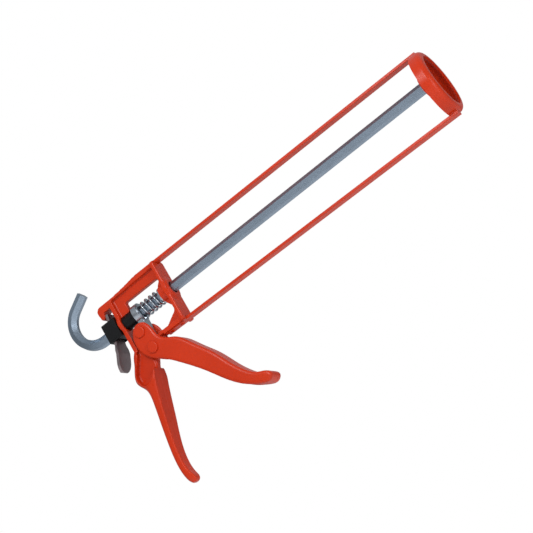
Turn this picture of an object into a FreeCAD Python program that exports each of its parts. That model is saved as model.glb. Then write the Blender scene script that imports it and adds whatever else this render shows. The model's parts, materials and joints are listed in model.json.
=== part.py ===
import FreeCAD, Part
import math
import os

# Skeleton caulking gun, millimetres.
# X runs forward along the push rod, Z is up, Y is to the gun's left.
# The origin is on the rod's axis, at the front face of the casting's front bulkhead.

V = FreeCAD.Vector

# ---- driving dimensions -------------------------------------------------------------------
FIT = 0.05                      # radial clearance of a pin in its hole
GAP = 0.35                      # clearance between pieces that move past each other

ROD_FLATS = 8.0                 # hexagon rod, across flats
ROD_REAR = -74.3                # the hook's bend starts here
HOOK_R = 20.0                   # centreline radius of the hook
HOOK_TURN = 150.0               # degrees
HOOK_TAIL = 14.0                # straight end of the hook
ROD_TURN = -20.0                # degrees from a corner on top
PLUNGER_X = 258.4               # rear face of the plunger's dished centre, against the rod's shoulder
PLUNGER_R = 20.5
PLUNGER_THICK = 1.2
NUT_THICK = 3.4
NUT_FLATS = 10.0
THREAD_R = 2.96

RING_X = 263.0                  # rear edge of the front ring
RING_LENGTH = 10.2
RING_R = 27.8                   # outside
RING_WALL = 1.8
RING_OPENING_R = 22.0
RING_Z = -3.7                   # the ring's centre is a little below the rod

RAIL_WIDTH = 7.6
RAIL_THICK = 2.4
RAIL_REAR = -22.0
TOP_RAIL_FRONT = RING_X + 4.6    # the rails' ends are welded to the ring
BOTTOM_RAIL_FRONT = RING_X + 7.2
TOP_SEAT_Z = 25.2               # underside of the top rail at the bulkhead
BOTTOM_SEAT_Z = -27.6           # upper side of the bottom rail at the bulkhead
RIVET_X = (-17.0, -7.0)
RIVET_R = 1.55
RIVET_HOLE_R = 1.6
RIVET_HEAD_R = 2.9

WEB_Y = 2.5                     # half thicknesses of the casting
FLANGE_Y = 5.5
BULKHEAD_Y = 8.8
BULKHEAD_THICK = 3.5
BOSS_REAR = -9.5
REAR_WALL_X = -53.5
REAR_WALL_THICK = 3.5
SLEEVE_R = 6.0
BODY_TOP = 24.2

PIVOT = (-35.5, -33.3)          # the trigger's pivot pin, X and Z
DRIVE = (-39.2, -16.2)          # the trigger's drive pin
PIN_R = 2.5
PIN_HEAD_R = 4.8
CHEEK_OUT = 9.0                 # half width over the trigger's cheeks
CHEEK_IN = 6.6
TRIGGER_ROUND = 2.2             # rounding of the rims of the trigger's sides

DRIVER_X = -38.0                # rear face of the driver
DRIVER_THICK = 5.0
DRIVER_R = 8.5
WASHER_R = 6.8
WASHER_THICK = 1.2
WASHER_HOLE_R = 5.1
SEAT_R = 7.4
SEAT_THICK = 1.0
SPRING_R = 6.1                  # outside, over the wire, is SPRING_R + SPRING_WIRE / 2
SPRING_WIRE = 1.7
SPRING_TURNS = 4.4

BLOCK_X0, BLOCK_X1 = -67.0, -54.0
BLOCK_Y = 9.0
BLOCK_Z = 8.7
CATCH_HINGE = (-58.4, 14.6)     # the catch plate's upper edge rocks here
CATCH_KNEE = (-65.4, -18.5)
CATCH_TIP = (-72.0, -32.5)
CATCH_THICK = 2.4
CATCH_TOP_Y = 7.0
CATCH_TAB_Y = 8.9
CATCH_SPRING_R = 5.8
CATCH_SPRING_WIRE = 0.9
CATCH_SPRING_TURNS = 1.9
CATCH_SPRING_REAR = -59.1
CATCH_SPRING_SEAT = -55.2
CATCH_SWING = 7.0               # degrees


# ---- helpers --------------------------------------------------------------------------------
def xz(point, y=0.0):
    return V(point[0], y, point[1])


def path_xz(start, *steps):
    """A wire in the XZ plane: ("L", end), ("A", middle, end) and ("S", point, ..., end) steps."""
    edges = []
    here = start
    for step in steps:
        kind, points = step[0], step[1:]
        if kind == "L":
            edges.append(Part.makeLine(xz(here), xz(points[0])))
        elif kind == "A":
            edges.append(Part.Arc(xz(here), xz(points[0]), xz(points[1])).toShape())
        else:
            curve = Part.BSplineCurve()
            curve.interpolate([xz(p) for p in (here,) + points])
            edges.append(curve.toShape())
        here = points[-1]
    return Part.Wire(edges)


def plate_xz(wire, y0, y1):
    """The closed XZ wire made solid between two Y values."""
    face = Part.Face(wire)
    face.translate(V(0, y0, 0))
    return face.extrude(V(0, y1 - y0, 0))


def box(x0, x1, y0, y1, z0, z1):
    return Part.makeBox(x1 - x0, y1 - y0, z1 - z0, V(x0, y0, z0))


def rod_x(radius, x0, x1, z=0.0, y=0.0):
    return Part.makeCylinder(radius, x1 - x0, V(x0, y, z), V(1, 0, 0))


def rod_y(radius, centre, y0, y1):
    return Part.makeCylinder(radius, y1 - y0, xz(centre, y0), V(0, 1, 0))


def fuse(shapes):
    return shapes[0].multiFuse(shapes[1:]).removeSplitter()


def save(name, shape):
    if not shape.isValid():
        raise RuntimeError(name + " is not a valid solid")
    shape.exportStep("parts/" + name + ".step")
    print(name, len(shape.Solids), round(shape.Volume, 1))


def rail_z(seat, end, x):
    """Height of a straight rail's seat side at x, between the bulkhead and the ring."""
    return seat + (end - seat) * x / (RING_X + RING_LENGTH / 2)


# ---- the orange casting -----------------------------------------------------------------------
def arm_web():
    outer = path_xz(
        (-1.0, BODY_TOP), ("L", (-61.0, BODY_TOP)), ("A", (-65.0, 22.4), (-65.8, 18.6)),
        ("L", (-65.2, 15.2)), ("A", (-63.0, 12.5), (-60.9, 14.6)), ("L", (-60.9, 16.6)),
        ("A", (-60.4, 17.6), (-59.4, 18.0)), ("L", (REAR_WALL_X, 18.0)), ("L", (REAR_WALL_X, -26.0)),
        ("L", (-56.0, -44.0)), ("L", (-44.0, -48.0)), ("L", (-39.8, -40.6)),
        ("A", (-31.6, -41.6), (-27.0, -33.6)), ("L", (-26.4, -28.4)), ("L", (-24.0, -27.6)),
        ("L", (-1.0, -27.8)), ("L", (-1.0, BODY_TOP)))
    window = path_xz(
        (-41.0, 12.6), ("A", (-40.6, 14.0), (-38.6, 14.2)), ("L", (-10.0, 14.2)),
        ("A", (-6.4, 12.6), (-6.0, 9.0)), ("L", (-6.0, -14.0)), ("A", (-6.8, -16.8), (-9.0, -18.6)),
        ("L", (-19.0, -24.6)), ("A", (-22.5, -25.4), (-25.5, -24.6)), ("L", (-29.5, -24.4)),
        ("A", (-35.5, -23.6), (-42.0, -24.4)), ("L", (-49.0, -24.4)), ("A", (-50.0, -24.0), (-50.4, -23.0)),
        ("L", (-50.4, 4.6)), ("L", (-43.0, 4.6)), ("A", (-41.6, 5.2), (-41.0, 6.6)), ("L", (-41.0, 12.6)))
    web = plate_xz(outer, -WEB_Y, WEB_Y)
    return web.cut(plate_xz(window, -WEB_Y - 1, WEB_Y + 1))


def top_flange():
    """The T-flange along the top arm, swelling up to the rail and wrapping the rear hook."""
    side = path_xz(
        (0.0, TOP_SEAT_Z), ("L", (RAIL_REAR - 1.0, TOP_SEAT_Z)), ("L", (RAIL_REAR - 1.0, TOP_SEAT_Z + 1.6)),
        ("S", (-36.0, 25.2), (-50.0, BODY_TOP)), ("L", (-61.0, BODY_TOP)), ("A", (-65.0, 22.4), (-65.8, 18.6)),
        ("L", (-65.2, 15.2)), ("A", (-63.0, 12.5), (-60.9, 14.6)), ("L", (-60.9, 16.6)),
        ("A", (-60.4, 17.6), (-59.4, 18.0)), ("L", (REAR_WALL_X, 18.0)), ("L", (-50.0, 22.2)),
        ("L", (0.0, 23.2)), ("L", (0.0, TOP_SEAT_Z)))
    return plate_xz(side, -FLANGE_Y, FLANGE_Y)


def rail_cheeks(seat, low, high):
    """Low walls either side of a rail's rear end, so that it lies in a channel."""
    walls = []
    for side in (-1, 1):
        y0, y1 = sorted((side * (RAIL_WIDTH / 2 + 0.05), side * FLANGE_Y))
        walls.append(box(RAIL_REAR - 1.0, -1.0, y0, y1, min(low, high), max(low, high)))
    return walls


def bottom_flange():
    side = path_xz(
        (0.0, BOTTOM_SEAT_Z), ("L", (RAIL_REAR - 1.0, BOTTOM_SEAT_Z - 0.1)),
        ("S", (-27.0, -28.2), (-30.5, -30.0)), ("L", (-29.0, -26.0)),
        ("S", (-25.5, -25.0), (RAIL_REAR - 1.0, -25.0)), ("L", (0.0, -25.2)), ("L", (0.0, BOTTOM_SEAT_Z)))
    return plate_xz(side, -FLANGE_Y, FLANGE_Y)


def front_bulkhead():
    """The plate that the cartridge bears on, waisted below the rod, with the rod's boss."""
    plate = box(-BULKHEAD_THICK, 0.0, -BULKHEAD_Y, BULKHEAD_Y, -30.2, 26.8)
    plate = plate.makeFillet(3.0, [e for e in plate.Edges if abs(e.tangentAt(e.FirstParameter).x) > 0.9])
    boss = rod_x(10.2, -BULKHEAD_THICK, 0.6)
    step = rod_x(8.2, -BULKHEAD_THICK, 1.6)
    neck = rod_x(7.4, BOSS_REAR, 0.0)
    gusset = plate_xz(path_xz((-1.0, 16.0), ("L", (-1.0, -20.0)), ("L", (-9.0, -8.0)), ("L", (-9.0, 8.0)),
                              ("L", (-1.0, 16.0))), -WEB_Y, WEB_Y)
    return [plate, boss, step, neck, gusset]


def rear_bulkhead():
    wall = box(REAR_WALL_X, REAR_WALL_X + REAR_WALL_THICK, -FLANGE_Y - 0.5, FLANGE_Y + 0.5, -27.0, 21.5)
    boss = rod_x(8.6, REAR_WALL_X, REAR_WALL_X + REAR_WALL_THICK)
    return [wall, boss]


# Height, back, front and half width of the grip, from the web of the hand to its foot.
GRIP_STATIONS = [
    (-23.2, -53.8, -44.2, 5.6), (-33.0, -60.0, -42.6, 8.8), (-45.0, -65.9, -43.4, 10.6),
    (-51.5, -64.6, -45.0, 10.9), (-59.0, -60.6, -47.6, 10.6), (-72.0, -61.0, -51.6, 10.0),
    (-85.0, -63.5, -55.2, 9.2), (-99.0, -66.4, -59.0, 7.8), (-113.0, -68.8, -61.9, 6.6),
    (-126.0, -69.6, -62.6, 6.0), (-135.0, -68.6, -60.6, 5.2), (-141.0, -65.4, -61.4, 2.6)]
CUBIC = 3


def grip_section(z, back, front, half):
    """Flat in front with small corners, straight at the sides and rounded behind."""
    corner = 1.1
    side = front - 0.42 * (front - back)
    bevel = corner * (1 - math.sqrt(0.5))
    edges = [Part.makeLine(V(front, half - corner, z), V(front, corner - half, z))]
    for s in (-1, 1):
        edges.append(Part.Arc(V(front, s * (half - corner), z), V(front - bevel, s * (half - bevel), z),
                              V(front - corner, s * half, z)).toShape())
        edges.append(Part.makeLine(V(front - corner, s * half, z), V(side, s * half, z)))
    curve = Part.BSplineCurve()
    curve.interpolate(Points=[V(side, -half, z), V(back + 0.2 * (side - back), -0.68 * half, z), V(back, 0, z),
                              V(back + 0.2 * (side - back), 0.68 * half, z), V(side, half, z)],
                      InitialTangent=V(-1, 0, 0), FinalTangent=V(1, 0, 0))
    edges.append(curve.toShape())
    return Part.Wire(Part.sortEdges(edges)[0])


def grip():
    """The handle: flat in front, rounded behind, wide at the web of the hand and tapering down."""
    return Part.makeLoft([grip_section(*station) for station in GRIP_STATIONS], True, False, False, CUBIC)


def grip_pockets():
    """Recesses on both sides of the web: scooped out behind, and flared in front for the trigger's cheeks."""
    inner = WEB_Y + 0.7
    outline = path_xz(
        (-30.0, -20.0), ("L", (-52.0, -20.0)), ("L", (-52.0, -30.2)), ("L", (-61.0, -43.6)),
        ("S", (-61.6, -49.0), (-59.4, -54.2), (-54.8, -56.4), (-51.2, -55.4), (-49.4, -53.4)),
        ("L", (-44.6, -47.6)), ("L", (-41.0, -41.0)), ("L", (-30.0, -41.0)), ("L", (-30.0, -20.0)))
    scoop = plate_xz(outline, -16.0, 16.0)
    flare = box(-49.4, -30.0, -16.0, 16.0, -60.0, -19.0)
    scoop_floor = [(-49.0, inner), (-54.0, 5.0), (-57.0, 9.6), (-57.0, 16.0)]
    flare_floor = [(-38.0, inner), (-41.0, 6.0), (-45.0, 6.0), (-47.6, 8.7), (-56.0, 11.2), (-56.0, 16.0)]
    pockets = []
    for side in (-1, 1):
        for limits, floor in ((scoop, scoop_floor), (flare, flare_floor)):
            points = [(-19.0, inner)] + floor + [(-19.0, 16.0), (-19.0, inner)]
            profile = Part.makePolygon([V(-70.0, side * y, z) for z, y in points])
            pockets.append(Part.Face(profile).extrude(V(50.0, 0, 0)).common(limits))
    return pockets


def body_casting():
    solid = fuse([arm_web(), top_flange(), bottom_flange()] + front_bulkhead() + rear_bulkhead())
    handle = grip()
    for pocket in grip_pockets():
        handle = handle.cut(pocket)
    pivot_boss = rod_y(7.4, PIVOT, -CHEEK_IN + GAP, CHEEK_IN - GAP)
    solid = fuse([solid, handle, pivot_boss] + rail_cheeks(TOP_SEAT_Z, TOP_SEAT_Z - 1, TOP_SEAT_Z + 1.5)
                 + rail_cheeks(BOTTOM_SEAT_Z, BOTTOM_SEAT_Z + 1, BOTTOM_SEAT_Z - 1.5))
    cuts = [rod_x(ROD_FLATS / math.sqrt(3) + 0.4, BOSS_REAR - 5, 5),
            rod_x(SLEEVE_R + FIT, REAR_WALL_X - 1, REAR_WALL_X + REAR_WALL_THICK + 0.1),
            rod_x(SLEEVE_R + GAP, REAR_WALL_X + REAR_WALL_THICK, DRIVER_X),
            rod_y(PIN_R, PIVOT, -12, 12)]
    for x in RIVET_X:
        cuts.append(Part.makeCylinder(RIVET_HOLE_R, 6, V(x, 0, TOP_SEAT_Z - 5)))
        cuts.append(Part.makeCylinder(RIVET_HOLE_R, 6, V(x, 0, BOTTOM_SEAT_Z - 1)))
    relief = RAIL_WIDTH / 2 + 0.5                 # keeps the bearing face clear of the rails
    cuts += [box(-0.6, 1.0, -relief, relief, TOP_SEAT_Z - 0.5, TOP_SEAT_Z + 5),
             box(-0.6, 1.0, -relief, relief, BOTTOM_SEAT_Z - 5, BOTTOM_SEAT_Z + 0.5),
             top_rail_bar(), bottom_rail_bar()]
    for cut in cuts:
        solid = solid.cut(cut)
    return solid


# ---- the cradle ---------------------------------------------------------------------------------
def rail_bar(x_front, z_rear, z_front):
    """A straight flat strip whose lower side runs between two heights."""
    side = path_xz((RAIL_REAR, z_rear), ("L", (x_front, z_front)), ("L", (x_front, z_front + RAIL_THICK)),
                   ("L", (RAIL_REAR, z_rear + RAIL_THICK)), ("L", (RAIL_REAR, z_rear)))
    return plate_xz(side, -RAIL_WIDTH / 2, RAIL_WIDTH / 2)


TOP_END_Z = RING_Z + RING_R + 0.02
BOTTOM_END_Z = RING_Z - RING_R - 0.1


def top_rail_bar():
    front = TOP_RAIL_FRONT
    return rail_bar(front, rail_z(TOP_SEAT_Z, TOP_END_Z, RAIL_REAR), rail_z(TOP_SEAT_Z, TOP_END_Z, front))


def bottom_rail_bar():
    front = BOTTOM_RAIL_FRONT
    low = rail_z(BOTTOM_SEAT_Z, BOTTOM_END_Z, RAIL_REAR) - RAIL_THICK
    return rail_bar(front, low, rail_z(BOTTOM_SEAT_Z, BOTTOM_END_Z, front) - RAIL_THICK)


def rivet(x, side):
    """side is 1 for the top rail and -1 for the bottom one."""
    if side > 0:
        z = rail_z(TOP_SEAT_Z, TOP_END_Z, x) + RAIL_THICK
    else:
        z = rail_z(BOTTOM_SEAT_Z, BOTTOM_END_Z, x) - RAIL_THICK
    grip_length = RAIL_THICK + 4.0
    start = V(x, 0, z - side * grip_length)
    shank = Part.makeCylinder(RIVET_R, grip_length + 0.3, start, V(0, 0, side))
    head = Part.makeSphere(RIVET_HEAD_R, V(x, 0, z - side * 1.9)).common(
        Part.makeCylinder(RIVET_HEAD_R, 3.0, V(x, 0, z), V(0, 0, side)))
    return shank.fuse(head).removeSplitter()


def rail(bar, side):
    for x in RIVET_X:
        bar = bar.cut(Part.makeCylinder(RIVET_HOLE_R, 60, V(x, 0, 0), V(0, 0, side)))
    long_edges = [e for e in bar.Edges if e.Length > 200]
    return bar.makeFillet(0.5, long_edges)


def front_ring():
    """A pressed steel cup: a short tube with its front edge turned in around the opening."""
    front = RING_X + RING_LENGTH
    turn = 4.4                                    # outside radius of the turned-in corner
    inner = RING_R - RING_WALL
    outline = [
        Part.makeLine(V(RING_X, 0, inner), V(RING_X, 0, RING_R)),
        Part.makeLine(V(RING_X, 0, RING_R), V(front - turn, 0, RING_R)),
        arc_corner(front - turn, RING_R - turn, turn),
        Part.makeLine(V(front, 0, RING_R - turn), V(front, 0, RING_OPENING_R)),
        Part.makeLine(V(front, 0, RING_OPENING_R), V(front - RING_WALL, 0, RING_OPENING_R)),
        Part.makeLine(V(front - RING_WALL, 0, RING_OPENING_R), V(front - RING_WALL, 0, RING_R - turn)),
        arc_corner(front - turn, RING_R - turn, turn - RING_WALL),
        Part.makeLine(V(front - turn, 0, inner), V(RING_X, 0, inner))]
    wire = Part.Wire(Part.sortEdges(outline)[0])
    ring = Part.Face(wire).revolve(V(0, 0, 0), V(1, 0, 0), 360)
    ring.translate(V(0, 0, RING_Z))
    return ring


def arc_corner(cx, cz, radius):
    half = radius * math.sqrt(0.5)
    return Part.Arc(V(cx, 0, cz + radius), V(cx + half, 0, cz + half), V(cx + radius, 0, cz)).toShape()


# ---- the rod and its plunger ---------------------------------------------------------------------
def hexagon(flats, x, turn):
    """A closed hexagon across the rod's axis, turned in degrees from a corner on top."""
    corner = flats / math.sqrt(3)
    angles = [math.radians(turn + 60 * i) for i in range(7)]
    return Part.makePolygon([V(x, corner * math.sin(a), corner * math.cos(a)) for a in angles])


def push_rod():
    """Hexagon bar, two flats upright, bent at the rear into a hook for hanging the gun."""
    turn = math.radians(HOOK_TURN)
    centre = (ROD_REAR, HOOK_R)
    half = turn / 2
    middle = (centre[0] - HOOK_R * math.sin(half), centre[1] - HOOK_R * math.cos(half))
    end = (centre[0] - HOOK_R * math.sin(turn), centre[1] - HOOK_R * math.cos(turn))
    tail = (end[0] - HOOK_TAIL * math.cos(turn), end[1] + HOOK_TAIL * math.sin(turn))
    route = path_xz((PLUNGER_X, 0.0), ("L", (ROD_REAR, 0.0)), ("A", middle, end), ("L", tail))
    section = hexagon(ROD_FLATS, PLUNGER_X, ROD_TURN)
    rod = Part.Wire([route]).makePipeShell([section], True, True, 2)
    thread = rod_x(THREAD_R, PLUNGER_X - 0.4, PLUNGER_X + PLUNGER_THICK + 1.0 + NUT_THICK + 0.6)
    return rod.fuse(thread).removeSplitter()


def plunger():
    """A pressed disc, dished to the rear around the rod, with a rolled rim."""
    x = PLUNGER_X
    side = path_xz((x, 3.0), ("L", (x, 8.4)), ("L", (x + 4.4, 12.4)), ("L", (x + 4.4, 16.2)),
                   ("A", (x + 5.6, 17.9), (x + 4.4, 19.3)), ("L", (x + 3.4, 19.3)), ("L", (x + 3.4, PLUNGER_R)),
                   ("L", (x + 4.8, PLUNGER_R)), ("A", (x + 6.9, 18.0), (x + 5.6, 15.6)), ("L", (x + 5.6, 11.9)),
                   ("L", (x + PLUNGER_THICK, 7.9)), ("L", (x + PLUNGER_THICK, 3.0)), ("L", (x, 3.0)))
    return Part.Face(side).revolve(V(0, 0, 0), V(1, 0, 0), 360)


def plunger_washer():
    return ring_x(6.6, 3.0, PLUNGER_X + PLUNGER_THICK, PLUNGER_X + PLUNGER_THICK + 1.0)


def plunger_nut():
    x = PLUNGER_X + PLUNGER_THICK + 1.0
    nut = Part.Face(hexagon(NUT_FLATS, x, 0.0)).extrude(V(NUT_THICK, 0, 0))
    chamfer = Part.makeCone(5.9, 5.0, 1.2, V(x + NUT_THICK - 1.2, 0, 0), V(1, 0, 0))
    nut = nut.common(rod_x(5.9, x, x + NUT_THICK - 1.2).fuse(chamfer))
    return nut.cut(rod_x(3.0, x - 1, x + NUT_THICK + 1))


# ---- the drive ----------------------------------------------------------------------------------------
TRIGGER_OUTLINE = [
    (-38.6, -8.6), (-32.4, -11.0), (-28.8, -18.4), (-27.2, -26.6), (-23.2, -32.0), (-16.0, -36.2), (-9.6, -42.6),
    (-3.4, -51.8), (5.8, -65.0), (14.2, -81.0), (22.2, -93.8), (29.8, -101.2), (37.4, -105.0), (40.2, -109.0),
    (36.2, -113.2), (29.0, -111.6), (21.0, -107.2), (11.6, -99.4), (3.2, -89.4), (-6.0, -76.4), (-15.0, -65.2),
    (-24.0, -55.0), (-33.6, -45.8), (-41.8, -39.4), (-47.2, -31.4), (-48.8, -23.0), (-46.4, -13.6)]


def trigger():
    """Two cheeks on the pins that run into one bowed lever, hollow on its rear side."""
    outline = Part.BSplineCurve()
    outline.interpolate(Points=[xz(p) for p in TRIGGER_OUTLINE], PeriodicFlag=True)
    solid = plate_xz(Part.Wire([outline.toShape()]), -CHEEK_OUT, CHEEK_OUT)
    rims = [e for e in solid.Edges if abs(abs(middle_of(e).y) - CHEEK_OUT) < 0.01]
    solid = solid.makeFillet(TRIGGER_ROUND, rims)
    hollow = path_xz(
        (-25.6, 0.0), ("L", (-25.6, -28.0)), ("S", (-24.4, -35.8), (-18.6, -40.2), (-12.6, -46.2), (-6.6, -55.0),
                                               (2.6, -68.0), (11.0, -84.0), (19.0, -96.4), (26.6, -103.6)),
        ("L", (24.0, -125.0)), ("L", (-60.0, -70.0)), ("L", (-60.0, 0.0)), ("L", (-25.6, 0.0)))
    solid = solid.cut(plate_xz(hollow, -CHEEK_IN, CHEEK_IN))
    for centre in (PIVOT, DRIVE):
        solid = solid.cut(rod_y(PIN_R + (FIT if centre is PIVOT else 0.0), centre, -12, 12))
    return solid


def middle_of(edge):
    return edge.valueAt((edge.FirstParameter + edge.LastParameter) / 2)


def cheek_pin(centre):
    """A pin through both cheeks, with a domed head on the right and a plain end on the left."""
    shape = rod_y(PIN_R, centre, -CHEEK_OUT - 0.5, CHEEK_OUT + 2.0)
    head = rod_y(PIN_HEAD_R, centre, -CHEEK_OUT - 1.6, -CHEEK_OUT)
    rim = [e for e in head.Edges if abs(middle_of(e).y + CHEEK_OUT + 1.6) < 0.01]
    shape = shape.fuse(head.makeFillet(0.9, rim))
    tip = [e for e in shape.Edges if abs(middle_of(e).y - CHEEK_OUT - 2.0) < 0.01]
    return shape.makeChamfer(0.5, tip)


def pin_retainers():
    """Two push-on washers, dished, with a raised collar that grips the pin."""
    washers = []
    for centre in (PIVOT, DRIVE):
        disc = rod_y(PIN_HEAD_R, centre, CHEEK_OUT, CHEEK_OUT + 0.7)
        collar = rod_y(PIN_R + 1.0, centre, CHEEK_OUT, CHEEK_OUT + 1.3)
        washers.append(disc.fuse(collar).cut(rod_y(PIN_R, centre, 0, 20)))
    return Part.makeCompound(washers)


def drive_pin():
    return cheek_pin(DRIVE)


def pivot_pin():
    return cheek_pin(PIVOT)


def driver():
    """The driver: a thick disc around the rod with a leg that hangs down to the drive pin."""
    front = DRIVER_X + DRIVER_THICK
    disc = rod_x(DRIVER_R, DRIVER_X, front)
    leg = box(DRIVER_X, front, -5.4, 5.4, -22.4, 0)
    lug = box(DRIVE[0] - PIN_R - 3.4, front, -5.4, 5.4, -22.4, -9.6)
    lug = lug.makeFillet(1.6, [e for e in lug.Edges if abs(e.tangentAt(e.FirstParameter).y) > 0.9
                               and middle_of(e).x < DRIVER_X])
    solid = fuse([disc, leg, lug])
    half = PIN_R + GAP
    slot = fuse([rod_y(half, (DRIVE[0], DRIVE[1] + 0.8), -8, 8), rod_y(half, (DRIVE[0], DRIVE[1] - 2.0), -8, 8),
                 box(DRIVE[0] - half, DRIVE[0] + half, -8, 8, DRIVE[1] - 2.0, DRIVE[1] + 0.8)])
    return solid.cut(slot).cut(rod_x(ROD_FLATS / math.sqrt(3) + 0.4, DRIVER_X - 1, front + 3))


def ring_x(outer, inner, x0, x1):
    return rod_x(outer, x0, x1).cut(rod_x(inner, x0 - 1, x1 + 1))


def front_washer():
    return ring_x(WASHER_R, WASHER_HOLE_R, BOSS_REAR - WASHER_THICK, BOSS_REAR)


def coil(x0, x1, radius, wire, turns):
    """A compression spring about the rod."""
    length = x1 - x0 - wire
    helix = Part.makeHelix(length / turns, length, radius)
    helix.rotate(V(0, 0, 0), V(0, 1, 0), 90)
    helix.translate(V(x0 + wire / 2, 0, 0))
    start = helix.Edges[0].valueAt(helix.Edges[0].FirstParameter)
    along = helix.Edges[0].tangentAt(helix.Edges[0].FirstParameter)
    section = Part.Wire([Part.Edge(Part.Circle(start, along, wire / 2))])
    return Part.Wire(helix.Edges).makePipeShell([section], True, True)


def spring_seat():
    """The washer between the spring and the driver."""
    front = DRIVER_X + DRIVER_THICK
    return ring_x(SEAT_R, WASHER_HOLE_R, front, front + SEAT_THICK)


def return_spring():
    rear = DRIVER_X + DRIVER_THICK + SEAT_THICK + FIT
    return coil(rear, BOSS_REAR - WASHER_THICK - FIT, SPRING_R, SPRING_WIRE, SPRING_TURNS)


# ---- the rod catch ---------------------------------------------------------------------------------------
def catch_line_x(z):
    """X of the catch plate's centreline, above its knee."""
    share = (CATCH_HINGE[1] - z) / (CATCH_HINGE[1] - CATCH_KNEE[1])
    return CATCH_HINGE[0] + (CATCH_KNEE[0] - CATCH_HINGE[0]) * share


def release_sleeve():
    """Black moulding: a nose through the rear bulkhead and a head slotted for the catch plate."""
    nose = rod_x(SLEEVE_R, BLOCK_X1 - 1, DRIVER_X - GAP)
    head = box(BLOCK_X0, BLOCK_X1, -BLOCK_Y, BLOCK_Y, -BLOCK_Z, BLOCK_Z)
    head = head.makeFillet(1.6, [e for e in head.Edges if abs(e.tangentAt(e.FirstParameter).x) > 0.9])
    rear = CATCH_THICK / 2 + 0.45
    swing = math.tan(math.radians(CATCH_SWING + 1.0))
    top, low = BLOCK_Z + 1, -BLOCK_Z - 1
    slot = path_xz(
        (catch_line_x(top) - rear, top), ("L", (catch_line_x(low) - rear, low)),
        ("L", (catch_line_x(low) + rear + swing * (CATCH_HINGE[1] - low), low)),
        ("L", (catch_line_x(top) + rear + swing * (CATCH_HINGE[1] - top), top)),
        ("L", (catch_line_x(top) - rear, top)))
    solid = nose.fuse(head).cut(plate_xz(slot, -CATCH_TOP_Y - 0.4, CATCH_TOP_Y + 0.4))
    solid = solid.cut(rod_x(ROD_FLATS / math.sqrt(3) + 0.5, BLOCK_X0 - 1, DRIVER_X + 1))
    return solid.cut(rod_x(CATCH_SPRING_R + 0.9, catch_line_x(0.0), CATCH_SPRING_SEAT))


def catch_plate():
    """Steel plate on the rod: its top edge rocks in the casting's hook and its bent tab is pressed."""
    half = CATCH_THICK / 2
    slope = math.atan2(CATCH_HINGE[0] - CATCH_KNEE[0], CATCH_HINGE[1] - CATCH_KNEE[1])
    bend = math.atan2(CATCH_KNEE[0] - CATCH_TIP[0], CATCH_KNEE[1] - CATCH_TIP[1])
    mean = (slope + bend) / 2

    def beside(point, angle, side):
        return (point[0] + side * half * math.cos(angle), point[1] - side * half * math.sin(angle))

    side = path_xz(
        beside(CATCH_HINGE, slope, -1), ("L", beside(CATCH_KNEE, mean, -1)), ("L", beside(CATCH_TIP, bend, -1)),
        ("L", beside(CATCH_TIP, bend, 1)), ("L", beside(CATCH_KNEE, mean, 1)), ("L", beside(CATCH_HINGE, slope, 1)),
        ("L", beside(CATCH_HINGE, slope, -1)))
    bar = plate_xz(side, -12, 12)
    z0, z1 = CATCH_HINGE[1] + 2, CATCH_TIP[1] - 1
    shoulder = -BLOCK_Z - 3.0
    tab_z = z1 + 9.0
    front = Part.Wire([
        Part.makeLine(V(-90, -CATCH_TOP_Y, z0), V(-90, CATCH_TOP_Y, z0)),
        Part.makeLine(V(-90, CATCH_TOP_Y, z0), V(-90, CATCH_TOP_Y, shoulder)),
        Part.makeLine(V(-90, CATCH_TOP_Y, shoulder), V(-90, CATCH_TAB_Y, shoulder - 4)),
        Part.makeLine(V(-90, CATCH_TAB_Y, shoulder - 4), V(-90, CATCH_TAB_Y, tab_z)),
        Part.Arc(V(-90, CATCH_TAB_Y, tab_z), V(-90, 0, z1), V(-90, -CATCH_TAB_Y, tab_z)).toShape(),
        Part.makeLine(V(-90, -CATCH_TAB_Y, tab_z), V(-90, -CATCH_TAB_Y, shoulder - 4)),
        Part.makeLine(V(-90, -CATCH_TAB_Y, shoulder - 4), V(-90, -CATCH_TOP_Y, shoulder)),
        Part.makeLine(V(-90, -CATCH_TOP_Y, shoulder), V(-90, -CATCH_TOP_Y, z0))])
    plate = bar.common(Part.Face(front).extrude(V(60, 0, 0)))
    return plate.cut(rod_x(5.8, -75, -50))


def catch_spring():
    """Short spring around the rod that holds the catch plate back."""
    return coil(CATCH_SPRING_REAR, CATCH_SPRING_SEAT - FIT, CATCH_SPRING_R, CATCH_SPRING_WIRE, CATCH_SPRING_TURNS)


PIECES = {
    "body_casting": body_casting,
    "top_rail": lambda: rail(top_rail_bar(), 1),
    "bottom_rail": lambda: rail(bottom_rail_bar(), -1),
    "rail_rivets": lambda: Part.makeCompound([rivet(x, side) for side in (1, -1) for x in RIVET_X]),
    "front_ring": front_ring,
    "push_rod": push_rod,
    "plunger": plunger,
    "plunger_washer": plunger_washer,
    "plunger_nut": plunger_nut,
    "trigger": trigger,
    "drive_pin": drive_pin,
    "pivot_pin": pivot_pin,
    "pin_retainers": pin_retainers,
    "driver": driver,
    "front_washer": front_washer,
    "spring_seat": spring_seat,
    "return_spring": return_spring,
    "release_sleeve": release_sleeve,
    "catch_plate": catch_plate,
    "catch_spring": catch_spring,
}

os.makedirs("parts", exist_ok=True)
for piece, make in PIECES.items():
    save(piece, make())
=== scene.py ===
import json
import math

import bmesh
import bpy
import numpy as np
from mathutils import Matrix, Vector


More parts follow.
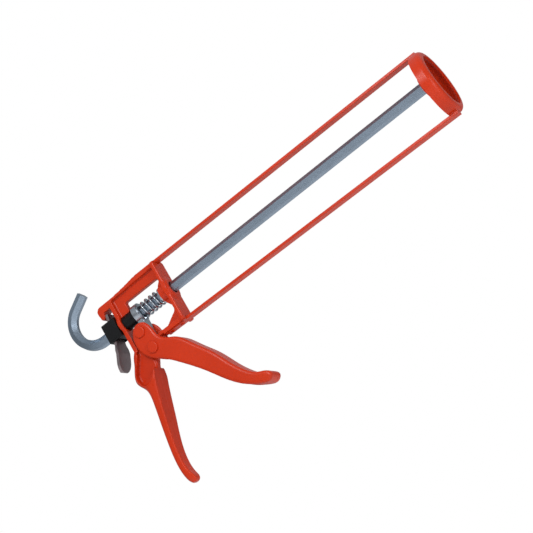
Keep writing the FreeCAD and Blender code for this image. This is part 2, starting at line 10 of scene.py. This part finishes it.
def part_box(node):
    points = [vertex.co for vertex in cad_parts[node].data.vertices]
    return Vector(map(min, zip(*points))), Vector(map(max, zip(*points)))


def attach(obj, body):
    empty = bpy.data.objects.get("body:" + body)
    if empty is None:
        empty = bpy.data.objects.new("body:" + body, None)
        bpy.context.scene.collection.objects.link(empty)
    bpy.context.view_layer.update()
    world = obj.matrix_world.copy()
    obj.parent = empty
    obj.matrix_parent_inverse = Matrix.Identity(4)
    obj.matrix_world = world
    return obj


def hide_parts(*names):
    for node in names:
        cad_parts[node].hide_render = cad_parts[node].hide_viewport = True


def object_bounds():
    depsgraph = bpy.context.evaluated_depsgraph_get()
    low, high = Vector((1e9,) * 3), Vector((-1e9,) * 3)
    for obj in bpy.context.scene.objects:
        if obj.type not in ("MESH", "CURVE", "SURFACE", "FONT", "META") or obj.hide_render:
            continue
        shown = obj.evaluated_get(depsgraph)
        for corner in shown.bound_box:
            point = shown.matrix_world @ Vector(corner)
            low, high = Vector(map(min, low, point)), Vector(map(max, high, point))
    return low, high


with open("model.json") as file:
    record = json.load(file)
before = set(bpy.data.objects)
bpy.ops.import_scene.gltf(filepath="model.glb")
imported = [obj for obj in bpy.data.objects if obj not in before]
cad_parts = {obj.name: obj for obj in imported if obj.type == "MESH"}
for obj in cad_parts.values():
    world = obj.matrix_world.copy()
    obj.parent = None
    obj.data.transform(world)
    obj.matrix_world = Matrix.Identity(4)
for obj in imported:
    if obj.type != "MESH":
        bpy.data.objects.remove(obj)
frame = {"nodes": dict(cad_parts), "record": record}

CAD_BOX = [list(corner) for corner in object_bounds()]
MM = 0.001
nodes = frame["nodes"]
EDGE_LAYER = "edge"             # the castings' curvature, one value to a vertex

SKIN_VOXEL = 0.5                # mm, as all sizes here
EDGE_ROUNDS = 4
SOFT_EDGES = {"push_rod": 0.45, "release_sleeve": 0.35, "catch_plate": 0.35, "driver": 0.35,
              "front_washer": 0.15, "spring_seat": 0.15, "plunger_nut": 0.2}
BEAD_RADIUS = 0.85
BEAD_PITCH = 0.8
BEAD_VOXEL = 0.18

CAMERA_PLACE = (491.38, -1153.41, -484.40)
CAMERA_LENS = 113.8
CAMERA_YAW, CAMERA_PITCH, CAMERA_ROLL = 0.3441, -0.3514, 0.5403
FLOOR_DROP = 460.0              # under the lowest point, clear of the low camera's view
FLOOR_HALF = 6000.0


# ---- node helpers ---------------------------------------------------------------------------
class Graph:
    """A short way to build one material's node tree."""

    def __init__(self, name):
        self.material = bpy.data.materials.new(name)
        self.material.use_nodes = True
        self.tree = self.material.node_tree
        self.shader = self.tree.nodes["Principled BSDF"]
        self.place = self.add("ShaderNodeTexCoord").outputs["Object"]

    def add(self, kind, **settings):
        node = self.tree.nodes.new(kind)
        for key, value in settings.items():
            setattr(node, key, value)
        return node

    def join(self, source, target):
        self.tree.links.new(source, target)

    def noise(self, scale, detail=3.0, rough=0.5, stretch=None):
        node = self.add("ShaderNodeTexNoise")
        node.inputs["Scale"].default_value = scale
        node.inputs["Detail"].default_value = detail
        node.inputs["Roughness"].default_value = rough
        self.join(self.stretched(stretch) if stretch else self.place, node.inputs["Vector"])
        return node.outputs["Fac"]

    def stretched(self, factors):
        node = self.add("ShaderNodeMapping")
        node.inputs["Scale"].default_value = factors
        self.join(self.place, node.inputs["Vector"])
        return node.outputs["Vector"]

    def ramp(self, source, stops):
        node = self.add("ShaderNodeValToRGB")
        ramp = node.color_ramp
        while len(ramp.elements) < len(stops):
            ramp.elements.new(0.5)
        for element, (place, colour) in zip(ramp.elements, stops):
            element.position = place
            element.color = (*colour, 1.0)
        self.join(source, node.inputs["Fac"])
        return node.outputs["Color"]

    def grey(self, source, low, high, start=0.0, end=1.0):
        node = self.add("ShaderNodeMapRange")
        for key, value in zip(("From Min", "From Max", "To Min", "To Max"), (start, end, low, high)):
            node.inputs[key].default_value = value
        self.join(source, node.inputs["Value"])
        return node.outputs["Result"]

    def mix(self, factor, a, b):
        node = self.add("ShaderNodeMix", data_type="RGBA")
        self.join(factor, node.inputs[0])
        for socket, value in ((node.inputs[6], a), (node.inputs[7], b)):
            if isinstance(value, bpy.types.NodeSocket):
                self.join(value, socket)
            else:
                socket.default_value = (*value, 1.0)
        return node.outputs[2]

    def bump(self, layers):
        """layers: (height socket, distance in mm, strength), the coarsest first."""
        normal = None
        for height, distance, strength in layers:
            node = self.add("ShaderNodeBump")
            node.inputs["Distance"].default_value = distance * MM
            node.inputs["Strength"].default_value = strength
            self.join(height, node.inputs["Height"])
            if normal:
                self.join(normal, node.inputs["Normal"])
            normal = node.outputs["Normal"]
        self.join(normal, self.shader.inputs["Normal"])

    def edges(self, low, high):
        """From 0 to 1 between two values of the castings' own curvature, which is below 0 in hollows."""
        node = self.add("ShaderNodeAttribute", attribute_name=EDGE_LAYER)
        return self.grey(node.outputs["Fac"], 0.0, 1.0, low, high)

    def across(self, width):
        """1 on the casting's parting line, at the middle of its thickness, falling to 0 beside it."""
        axes = self.add("ShaderNodeSeparateXYZ")
        self.join(self.place, axes.inputs["Vector"])
        size = self.add("ShaderNodeMath", operation="ABSOLUTE")
        self.join(axes.outputs["Y"], size.inputs[0])
        return self.grey(size.outputs["Value"], 1.0, 0.0, 0.0, width * MM)


# ---- materials -----------------------------------------------------------------------------------
def orange_paint(name="orange_paint", cast=False):
    """Powder coat over slightly uneven metal; on castings it is lighter on edges, partly paint rubbed thin
    and partly a painted highlight, and darker in hollows, which is painted shade.
    """
    g = Graph(name)
    broad = g.noise(26.0, 3.0)
    fine = g.noise(420.0, 2.0)
    peel = g.noise(1300.0, 1.0)
    specks = g.noise(700.0, 4.0, 0.7)
    colour = g.ramp(broad, [(0.3, (0.500, 0.028, 0.0038)), (0.7, (0.560, 0.033, 0.0052))])
    colour = g.mix(g.grey(fine, 0.0, 0.16, 0.45, 0.7), colour, (0.46, 0.020, 0.004))
    colour = g.mix(g.grey(specks, 0.0, 0.5, 0.68, 0.74), colour, (0.30, 0.018, 0.006))
    layers = [(broad, 0.25, 0.12), (peel, 0.03, 0.05)]
    if cast:
        # lighter on raised edges: partly paint rubbed thin, partly a painted highlight along the edges
        colour = g.mix(g.grey(g.edges(0.10, 0.34), 0.0, 0.5), colour, (0.72, 0.085, 0.035))
        # darker in hollows and crevices: painted shade where the light is blocked
        colour = g.mix(g.grey(g.edges(-0.04, -0.22), 0.0, 0.75), colour, (0.16, 0.012, 0.005))
        layers = [(g.noise(75.0, 2.0), 0.30, 0.20), (g.across(0.35), 0.12, 0.7)] + layers
    g.join(colour, g.shader.inputs["Base Color"])
    g.join(g.grey(fine, 0.27, 0.37, 0.3, 0.7), g.shader.inputs["Roughness"])
    g.shader.inputs["Specular IOR Level"].default_value = 0.25
    g.bump(layers)
    return g.material


def steel(name, colour, dark, rough, along):
    """Bare or plated steel with streaks stretched by along, cloudy patches and small dark spots."""
    g = Graph(name)
    lines = g.noise(22.0, 4.0, 0.6, along)
    cloud = g.noise(60.0, 3.0)
    spots = g.noise(260.0, 4.0, 0.7)
    base = g.mix(g.grey(lines, 0.0, 0.5, 0.35, 0.7), colour, dark)
    base = g.mix(g.grey(cloud, 0.0, 0.35, 0.5, 0.8), base, dark)
    base = g.mix(g.grey(spots, 0.0, 0.2, 0.64, 0.72), base, tuple(0.55 * c for c in dark))
    g.join(base, g.shader.inputs["Base Color"])
    g.shader.inputs["Metallic"].default_value = 1.0
    g.join(g.grey(lines, rough - 0.07, rough + 0.10, 0.3, 0.7), g.shader.inputs["Roughness"])
    g.bump([(cloud, 0.06, 0.1), (lines, 0.02, 0.2)])
    return g.material


def black_moulding():
    """Satin black plastic with a fine grain and a little dust."""
    g = Graph("black_moulding")
    grain = g.noise(900.0, 2.0)
    dust = g.noise(90.0, 4.0, 0.7)
    colour = g.mix(g.grey(dust, 0.0, 0.35, 0.5, 0.75), (0.0022, 0.0024, 0.0030), (0.010, 0.010, 0.012))
    g.join(colour, g.shader.inputs["Base Color"])
    g.join(g.grey(grain, 0.40, 0.55, 0.3, 0.7), g.shader.inputs["Roughness"])
    g.shader.inputs["Specular IOR Level"].default_value = 0.22
    g.bump([(grain, 0.04, 0.3)])
    return g.material


MATERIALS = {
    "orange_paint": orange_paint(),
    "bright_steel": steel("bright_steel", (0.29, 0.355, 0.43), (0.19, 0.235, 0.29), 0.36, (2.0, 90.0, 90.0)),
    "zinc_plated": steel("zinc_plated", (0.46, 0.50, 0.54), (0.27, 0.30, 0.33), 0.28, (20.0, 20.0, 20.0)),
    "spring_steel": steel("spring_steel", (0.44, 0.48, 0.53), (0.20, 0.22, 0.25), 0.24, (40.0, 8.0, 8.0)),
    "black_moulding": black_moulding(),
    "catch_steel": steel("catch_steel", (0.27, 0.22, 0.225), (0.15, 0.115, 0.12), 0.40, (20.0, 60.0, 8.0)),
}
CAST_PAINT = orange_paint("orange_paint_cast", cast=True)

for part in frame["record"]["subparts"]:
    shape = nodes[part["node"]]
    shape.data.materials.clear()
    shape.data.materials.append(MATERIALS[part["material_slot"]])


# ---- cast surfaces -----------------------------------------------------------------------------------
def cast_skin(node, rounds):
    """The CAD solid as a casting: the same body, its sharp edges softened the more, the more rounds."""
    source = nodes[node]
    skin = source.copy()
    skin.data = source.data.copy()
    skin.name = node + "_skin"
    skin.parent = None
    skin.matrix_world = source.matrix_world.copy()
    bpy.context.scene.collection.objects.link(skin)
    remesh = skin.modifiers.new("remesh", "REMESH")
    remesh.mode = "VOXEL"
    remesh.voxel_size = SKIN_VOXEL * MM
    smooth = skin.modifiers.new("smooth", "SMOOTH")
    smooth.factor = 0.5
    smooth.iterations = rounds
    mesh = bpy.data.meshes.new_from_object(skin.evaluated_get(bpy.context.evaluated_depsgraph_get()))
    skin.modifiers.clear()
    skin.data = mesh
    skin.data.name = skin.name
    for face in skin.data.polygons:
        face.use_smooth = True
    store_edges(skin.data)
    skin.data.materials.clear()
    skin.data.materials.append(CAST_PAINT)
    return skin


def store_edges(mesh):
    """Keeps how far each vertex stands out from its neighbours, evened out, for the paint's lighter edges
    (partly wear, partly painted highlight) and its painted shade in hollows.
    """
    count = len(mesh.vertices)
    place, normal = np.empty(count * 3), np.empty(count * 3)
    mesh.vertices.foreach_get("co", place)
    mesh.vertices.foreach_get("normal", normal)
    place, normal = place.reshape(-1, 3), normal.reshape(-1, 3)
    pairs = np.empty(len(mesh.edges) * 2, dtype=np.int64)
    mesh.edges.foreach_get("vertices", pairs)
    first, second = pairs.reshape(-1, 2).T
    step = place[first] - place[second]
    step /= np.maximum(np.linalg.norm(step, axis=1), 1e-9)[:, None]
    degree = np.bincount(first, minlength=count) + np.bincount(second, minlength=count)
    degree = np.maximum(degree, 1)
    out = np.bincount(first, (step * normal[first]).sum(1), count)
    out -= np.bincount(second, (step * normal[second]).sum(1), count)
    out /= degree
    for _ in range(EDGE_ROUNDS):
        around = np.bincount(first, out[second], count) + np.bincount(second, out[first], count)
        out = (out + around / degree) / 2
    layer = mesh.attributes.new(EDGE_LAYER, "FLOAT", "POINT")
    layer.data.foreach_set("value", out.astype(np.float32))


for node, body, rounds in (("body_casting", "frame", 6), ("trigger", "trigger", 16)):
    skin = cast_skin(node, rounds)
    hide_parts(node)
    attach(skin, body)


# ---- softened edges on the plain pieces ------------------------------------------------------------------
for node, width in SOFT_EDGES.items():
    bevel = nodes[node].modifiers.new("soften", "BEVEL")
    bevel.width = width * MM
    bevel.segments = 2
    bevel.limit_method = "ANGLE"
    bevel.angle_limit = math.radians(30.0)
    bevel.harden_normals = True


# ---- welds between the rails and the ring ----------------------------------------------------------------
def weld_bead(name, start, end):
    """A run of overlapping weld ripples from start to end."""
    form = bmesh.new()
    lumps = round((end.x - start.x) / (BEAD_PITCH * MM)) + 1
    for index in range(lumps):
        place = start.lerp(end, index / (lumps - 1))
        swell = 1.0 + 0.16 * math.sin(2.4 * index)
        turn = Matrix.Translation(place) @ Matrix.Diagonal((0.9, swell, 0.75, 1.0))
        bmesh.ops.create_icosphere(form, subdivisions=3, radius=BEAD_RADIUS * MM, matrix=turn)
    mesh = bpy.data.meshes.new(name)
    form.to_mesh(mesh)
    form.free()
    for face in mesh.polygons:
        face.use_smooth = True
    mesh.materials.append(MATERIALS["orange_paint"])
    bead = bpy.data.objects.new(name, mesh)
    bpy.context.scene.collection.objects.link(bead)
    melt = bead.modifiers.new("melt", "REMESH")
    melt.mode = "VOXEL"
    melt.voxel_size = BEAD_VOXEL * MM
    melt.use_smooth_shade = True
    even = bead.modifiers.new("even", "SMOOTH")
    even.iterations = 3
    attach(bead, "frame")


ring_low, ring_high = (Vector(corner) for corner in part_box("front_ring"))
ring_centre, ring_radius = (ring_low + ring_high) / 2, (ring_high.z - ring_low.z) / 2
for rail, sign in (("top_rail", 1), ("bottom_rail", -1)):
    rail_high = Vector(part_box(rail)[1])
    for side in (-1, 1):
        y = side * (rail_high.y + 0.2 * MM)
        z = ring_centre.z + sign * (math.sqrt(ring_radius ** 2 - y ** 2) + 0.25 * MM)
        start, end = Vector((ring_low.x + 0.9 * MM, y, z)), Vector((rail_high.x - 0.6 * MM, y, z))
        weld_bead(f"weld_{rail}_{'left' if side > 0 else 'right'}", start, end)


# ---- light, floor and camera ---------------------------------------------------------------------------
low, high = (Vector(corner) for corner in CAD_BOX)
centre = (low + high) / 2


def studio_world():
    """Pale light that is brighter from above, in front of a plain white background."""
    world = bpy.data.worlds.new("studio")
    bpy.context.scene.world = world
    world.use_nodes = True
    tree = world.node_tree
    background = tree.nodes["Background"]
    sky = tree.nodes.new("ShaderNodeTexCoord")
    split = tree.nodes.new("ShaderNodeSeparateXYZ")
    shade = tree.nodes.new("ShaderNodeValToRGB")
    shade.color_ramp.elements[0].position = 0.30
    shade.color_ramp.elements[0].color = (0.16, 0.15, 0.155, 1.0)
    shade.color_ramp.elements[1].position = 0.80
    shade.color_ramp.elements[1].color = (0.92, 0.96, 1.0, 1.0)
    height = tree.nodes.new("ShaderNodeMapRange")
    height.inputs["From Min"].default_value = -1.0
    tree.links.new(sky.outputs["Generated"], split.inputs["Vector"])
    tree.links.new(split.outputs["Z"], height.inputs["Value"])
    tree.links.new(height.outputs["Result"], shade.inputs["Fac"])
    tree.links.new(shade.outputs["Color"], background.inputs["Color"])
    background.inputs["Strength"].default_value = 0.5
    seen = tree.nodes.new("ShaderNodeBackground")
    seen.inputs["Color"].default_value = (1.0, 1.0, 1.0, 1.0)
    seen.inputs["Strength"].default_value = 1.0
    path = tree.nodes.new("ShaderNodeLightPath")
    choose = tree.nodes.new("ShaderNodeMixShader")
    tree.links.new(path.outputs["Is Camera Ray"], choose.inputs["Fac"])
    tree.links.new(background.outputs["Background"], choose.inputs[1])
    tree.links.new(seen.outputs["Background"], choose.inputs[2])
    tree.links.new(choose.outputs["Shader"], tree.nodes["World Output"].inputs["Surface"])


def area_light(name, place, size, power, colour=(1.0, 1.0, 1.0), glossy=True):
    """A soft round light that faces the middle of the gun; glossy tells whether it shows as a highlight."""
    data = bpy.data.lights.new(name, "AREA")
    data.shape = "DISK"
    data.size = size
    data.energy = power
    data.color = colour
    light = bpy.data.objects.new(name, data)
    light.location = place
    light.rotation_mode = "QUATERNION"
    light.rotation_quaternion = (Vector(place) - centre).to_track_quat("Z", "Y")
    light.visible_glossy = glossy
    bpy.context.scene.collection.objects.link(light)


def floor():
    mesh = bpy.data.meshes.new("floor")
    form = bmesh.new()
    bmesh.ops.create_grid(form, x_segments=4, y_segments=4, size=FLOOR_HALF * MM)
    form.to_mesh(mesh)
    form.free()
    plane = bpy.data.objects.new("floor", mesh)
    plane.location = (centre.x, centre.y, low.z - FLOOR_DROP * MM)
    bpy.context.scene.collection.objects.link(plane)
    g = Graph("floor")
    tone = g.ramp(g.noise(3.0, 2.0), [(0.3, (0.83, 0.83, 0.84)), (0.7, (0.87, 0.87, 0.875))])
    g.join(tone, g.shader.inputs["Base Color"])
    g.shader.inputs["Roughness"].default_value = 0.8
    g.shader.inputs["Emission Color"].default_value = (1.0, 1.0, 1.0, 1.0)
    g.shader.inputs["Emission Strength"].default_value = 0.15
    mesh.materials.append(g.material)


def set_camera():
    """Looks at the right side from ahead and below, turned so that the rod climbs to the right.

    Returns the directions to the picture's right, to its top and back towards the camera."""
    data = bpy.data.cameras.new("camera")
    data.sensor_width = 36.0
    data.lens = CAMERA_LENS
    view = bpy.data.objects.new("camera", data)
    yaw, pitch, roll = CAMERA_YAW, CAMERA_PITCH, CAMERA_ROLL
    ahead = Vector((-math.sin(yaw) * math.cos(pitch), math.cos(yaw) * math.cos(pitch), -math.sin(pitch)))
    side = Vector((math.cos(yaw), math.sin(yaw), 0.0))
    top = side.cross(ahead)
    right = math.cos(roll) * side - math.sin(roll) * top
    up = math.sin(roll) * side + math.cos(roll) * top
    turn = Matrix((right, up, -ahead)).transposed()
    view.matrix_world = Matrix.Translation(Vector(CAMERA_PLACE) * MM) @ turn.to_4x4()
    bpy.context.scene.collection.objects.link(view)
    bpy.context.scene.camera = view
    return right, up, -ahead


studio_world()
floor()
right, up, back = set_camera()
area_light("key", centre + back * 1.1 - right * 0.9 + up * 0.8, 0.6, 13.0)
area_light("fill", centre + back * 1.3 + right * 0.9 - up * 0.2, 0.9, 3.0, (0.96, 0.98, 1.0))
area_light("front", centre + Vector((1.2, -0.8, -0.1)), 0.8, 5.0)
area_light("top", centre + Vector((-0.2, -0.1, 1.5)), 1.0, 5.0, glossy=False)
area_light("rear", centre + Vector((-0.3, 1.2, 0.7)), 0.9, 6.0, glossy=False)
bpy.context.scene.view_settings.view_transform = "Standard"
